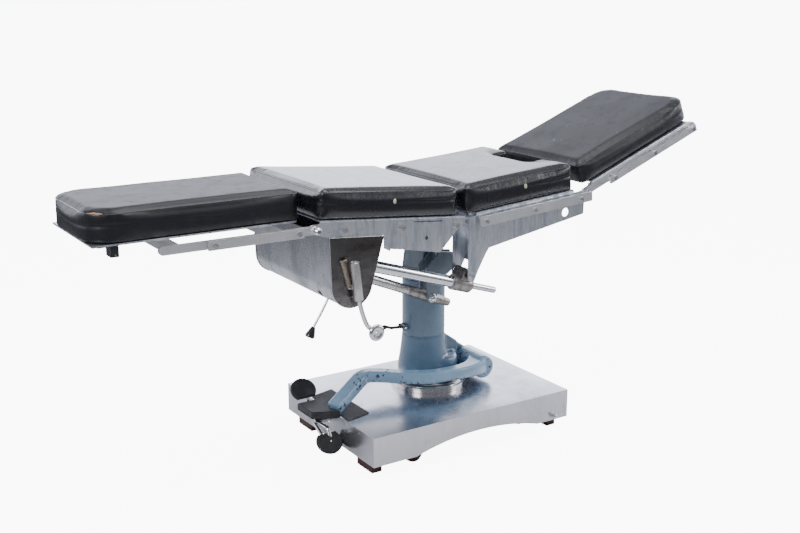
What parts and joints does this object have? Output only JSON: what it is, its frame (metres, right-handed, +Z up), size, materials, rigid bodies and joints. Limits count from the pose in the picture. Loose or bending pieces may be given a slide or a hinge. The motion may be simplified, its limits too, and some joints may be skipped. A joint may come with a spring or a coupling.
{
  "type": "operating table",
  "caption": "Manual hydraulic operating table: hinged head, back, seat and leg pads on a lifting, tilting column over a low castor base with foot pump.",
  "frame": {"origin": "floor level under the middle of the table's length and width", "axes": "+Z up, +X towards the leg end, -Y towards the side with the crank"},
  "size_m": [2.1938, 0.5971, 1.1024],
  "materials": {
    "base_steel": "brushed stainless sheet",
    "chassis": "dark paint",
    "polished_steel": "polished",
    "column_paint": "glossy blue-grey paint",
    "lever_paint": "worn blue paint with chips",
    "head_casting": "light grey-blue casting",
    "foot_rubber": "dark red-brown rubber",
    "black_rubber": "ribbed black rubber",
    "black_plastic": "glossy black",
    "frame_steel": "brushed steel with stains",
    "rail_steel": "brushed steel bar",
    "trough_steel": "dark reflective sheet steel",
    "vinyl": "glossy black upholstery vinyl",
    "fasteners": "zinc plated",
    "chrome": "polished chrome",
    "dark_barrel": "dark satin",
    "castor_steel": "dark red-brown paint",
    "castor_tyre": "dark red-brown tyre"
  },
  "bodies": {
    "base": {"base_cover": "base_steel", "chassis_frame": "chassis", "column_flange_ring": "polished_steel", "column_casting": "column_paint", "floor_feet": "foot_rubber", "footplate_mat": "black_rubber", "base_pins": "polished_steel"},
    "pump_lever": {"pump_arm": "lever_paint", "pump_treadle": "black_rubber"},
    "lock_rocker": {"rocker_arms": "chrome", "rocker_pads": "black_rubber"},
    "release_lever": {"release_lever": "chrome", "release_grip": "black_rubber"},
    "ball_knob": {"ball_knob": "black_plastic"},
    "lift_head": {"ram": "chrome", "column_head": "head_casting"},
    "back_section": {"back_side_plates": "frame_steel", "back_deck": "frame_steel", "back_pad": "vinyl", "back_rail_fasteners": "fasteners", "tilt_saddle": "head_casting", "gear_trough": "trough_steel", "gear_end_plates": "trough_steel", "back_pins": "chrome", "crank_barrel": "dark_barrel"},
    "head_section": {"head_bars": "frame_steel", "head_latch": "fasteners", "head_deck": "frame_steel", "head_pad": "vinyl", "head_rails": "rail_steel", "head_rail_fasteners": "fasteners"},
    "seat_section": {"seat_side_plates": "frame_steel", "seat_jack_cheek": "frame_steel", "seat_deck": "frame_steel", "seat_pad": "vinyl", "seat_rails": "rail_steel", "seat_rail_fasteners": "fasteners", "jack_studs": "fasteners", "seat_hinge_pins": "chrome"},
    "leg_section": {"leg_bars": "frame_steel", "leg_deck": "frame_steel", "leg_pad": "vinyl", "leg_rails": "rail_steel", "leg_rail_fasteners": "fasteners"},
    "flex_screw": {"flex_screw": "chrome"},
    "flex_nut": {"flex_nut": "chrome"},
    "tilt_screw": {"tilt_screw": "chrome"},
    "tilt_nut": {"tilt_nut": "chrome"},
    "crank": {"crank_arm": "chrome"},
    "crank_knob": {"crank_knob": "chrome"},
    "selector": {"selector_lever": "chrome"},
    "castor_fork_1": {"castor_fork_1": "castor_steel"},
    "castor_wheel_1": {"castor_wheel_1": "castor_tyre"},
    "castor_fork_2": {"castor_fork_2": "castor_steel"},
    "castor_wheel_2": {"castor_wheel_2": "castor_tyre"},
    "castor_fork_3": {"castor_fork_3": "castor_steel"},
    "castor_wheel_3": {"castor_wheel_3": "castor_tyre"},
    "castor_fork_4": {"castor_fork_4": "castor_steel"},
    "castor_wheel_4": {"castor_wheel_4": "castor_tyre"}
  },
  "joints": [
    {"name": "lift", "type": "slide", "parent": "base", "child": "lift_head", "axis": [0, 0, 1], "range_m": [0, 0.25]},
    {"name": "tilt", "type": "hinge", "parent": "lift_head", "child": "back_section", "pos_m": [0.084, 0, 0.69], "axis": [0, 1, 0], "range_deg": [-20, 20]},
    {"name": "flex", "type": "hinge", "parent": "back_section", "child": "seat_section", "pos_m": [0.08099, 0, 0.77196], "axis": [0, 1, 0], "range_deg": [-8, 30]},
    {"name": "head_tilt", "type": "hinge", "parent": "back_section", "child": "head_section", "pos_m": [-0.46396, 0, 0.81105], "axis": [0, 1, 0], "range_deg": [-40, 15]},
    {"name": "leg_drop", "type": "hinge", "parent": "seat_section", "child": "leg_section", "pos_m": [0.57555, 0, 0.81493], "axis": [0, 1, 0], "range_deg": [-8, 50]},
    {"name": "flex_screw_swing", "type": "hinge", "parent": "back_section", "child": "flex_screw", "pos_m": [-0.38712, -0.205, 0.70871], "axis": [0, 1, 0], "range_deg": [-1.2, 3.2]},
    {"name": "flex_nut_slide", "type": "slide", "parent": "flex_screw", "child": "flex_nut", "axis": [0.9539, 0, -0.3001], "range_m": [-0.1, 0.027]},
    {"name": "tilt_screw_swing", "type": "hinge", "parent": "back_section", "child": "tilt_screw", "pos_m": [-0.34004, -0.1, 0.65499], "axis": [0, 1, 0], "range_deg": [-2, 2]},
    {"name": "tilt_nut_slide", "type": "slide", "parent": "tilt_screw", "child": "tilt_nut", "axis": [0.923, 0, -0.3849], "range_m": [-0.075, 0.075]},
    {"name": "crank_turn", "type": "hinge", "parent": "back_section", "child": "crank", "pos_m": [-0.35172, -0.2855, 0.63], "axis": [0, 1, 0], "continuous": true},
    {"name": "crank_knob_spin", "type": "hinge", "parent": "crank", "child": "crank_knob", "pos_m": [-0.28572, -0.2993, 0.484], "axis": [0, 1, 0], "continuous": true},
    {"name": "selector_shift", "type": "hinge", "parent": "back_section", "child": "selector", "pos_m": [-0.34375, -0.16, 0.62931], "axis": [0, 1, 0], "range_deg": [0, 25]},
    {"name": "pump_stroke", "type": "hinge", "parent": "base", "child": "pump_lever", "pos_m": [0.27, -0.04, 0.206], "axis": [0, 1, 0], "range_deg": [0, 10]},
    {"name": "lock_rock", "type": "hinge", "parent": "base", "child": "lock_rocker", "pos_m": [-0.3, 0, 0.105], "axis": [1, 0, 0], "range_deg": [-22, 0]},
    {"name": "release_press", "type": "hinge", "parent": "base", "child": "release_lever", "pos_m": [0.0015, 0, 0.372], "axis": [0, 1, 0], "range_deg": [-12, 0], "stiffness_Nm_per_rad": 4, "springref_deg": 8.59},
    {"name": "ball_knob_pull", "type": "slide", "parent": "base", "child": "ball_knob", "axis": [0, -1, 0], "range_m": [0, 0.012]},
    {"name": "castor_swivel_1", "type": "hinge", "parent": "base", "child": "castor_fork_1", "pos_m": [-0.142, -0.205, 0.07], "axis": [0, 0, 1], "continuous": true},
    {"name": "castor_roll_1", "type": "hinge", "parent": "castor_fork_1", "child": "castor_wheel_1", "pos_m": [-0.11524, -0.23473, 0.0325], "axis": [0.7431, 0.6691, 0], "continuous": true},
    {"name": "castor_swivel_2", "type": "hinge", "parent": "base", "child": "castor_fork_2", "pos_m": [0.342, -0.205, 0.07], "axis": [0, 0, 1], "continuous": true},
    {"name": "castor_roll_2", "type": "hinge", "parent": "castor_fork_2", "child": "castor_wheel_2", "pos_m": [0.36877, -0.17527, 0.0325], "axis": [-0.7431, 0.6691, 0], "continuous": true},
    {"name": "castor_swivel_3", "type": "hinge", "parent": "base", "child": "castor_fork_3", "pos_m": [0.342, 0.205, 0.07], "axis": [0, 0, 1], "continuous": true},
    {"name": "castor_roll_3", "type": "hinge", "parent": "castor_fork_3", "child": "castor_wheel_3", "pos_m": [0.36877, 0.17527, 0.0325], "axis": [0.7431, 0.6691, 0], "continuous": true},
    {"name": "castor_swivel_4", "type": "hinge", "parent": "base", "child": "castor_fork_4", "pos_m": [-0.142, 0.205, 0.07], "axis": [0, 0, 1], "continuous": true},
    {"name": "castor_roll_4", "type": "hinge", "parent": "castor_fork_4", "child": "castor_wheel_4", "pos_m": [-0.16876, 0.23473, 0.0325], "axis": [-0.7431, -0.6691, 0], "continuous": true}
  ],
  "couplings": [
    {"joint": "flex_screw_swing", "follows": "flex", "ratio": 0.09},
    {"joint": "flex_nut_slide", "follows": "flex", "m_per_rad": -0.182},
    {"joint": "tilt_screw_swing", "follows": "tilt", "ratio": -0.085},
    {"joint": "tilt_nut_slide", "follows": "tilt", "m_per_rad": 0.21}
  ]
}
